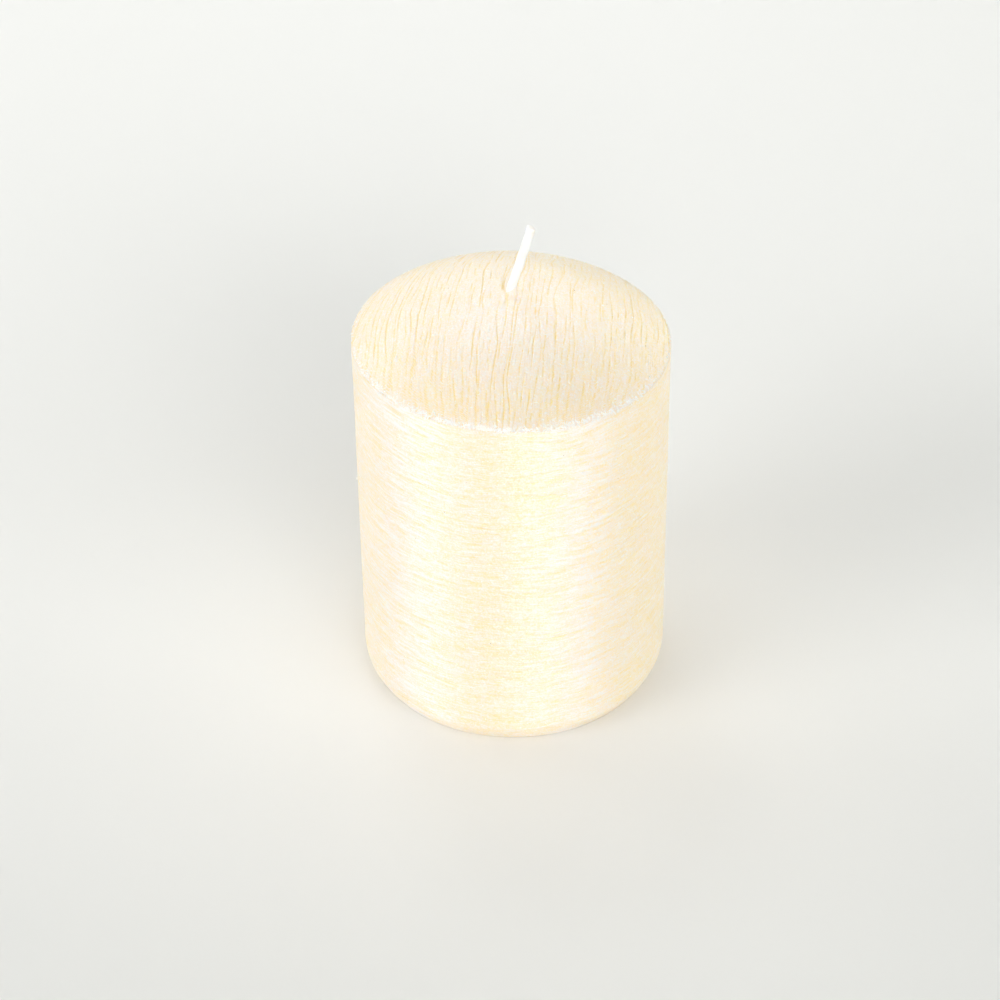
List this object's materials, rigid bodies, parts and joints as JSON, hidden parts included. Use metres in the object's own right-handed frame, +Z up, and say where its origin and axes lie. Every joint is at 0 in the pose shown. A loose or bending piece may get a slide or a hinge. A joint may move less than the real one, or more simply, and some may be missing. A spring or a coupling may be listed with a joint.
{
  "type": "unity candle",
  "caption": "Domed ivory pillar candle with a brushed pearl finish, a plaited cotton wick that leans to one side, and a flat base with a metal wick sustainer.",
  "frame": {"origin": "centre of the flat base, on the surface that the candle stands on", "axes": "+Z up along the pillar and its bore, +X the side that the wick leans to, -Y towards a viewer who sees the wick lean right"},
  "size_m": [0.07, 0.07, 0.1176],
  "materials": {
    "pearl_wax": "candle wax with a pearl lustre, brushed round the side and across the top, satin",
    "ivory_wax": "ivory candle wax, translucent, satin",
    "core_wax": "pressed candle wax, fine grained, matt",
    "wick_wax": "thin priming wax over cotton, satin",
    "wick_cotton": "plaited bleached cotton, waxed",
    "sustainer_tinplate": "stamped tinplate, bright, lightly scuffed"
  },
  "bodies": {
    "root": {"pearl_finish_coat": "pearl_wax", "ivory_dip_coat": "ivory_wax", "wax_core": "core_wax", "wick_bore_fill": "core_wax", "wick_sustainer": "sustainer_tinplate", "wick_wax_coat": "wick_wax", "wick_strand_1": "wick_cotton", "wick_strand_2": "wick_cotton", "wick_strand_3": "wick_cotton"}
  },
  "joints": []
}
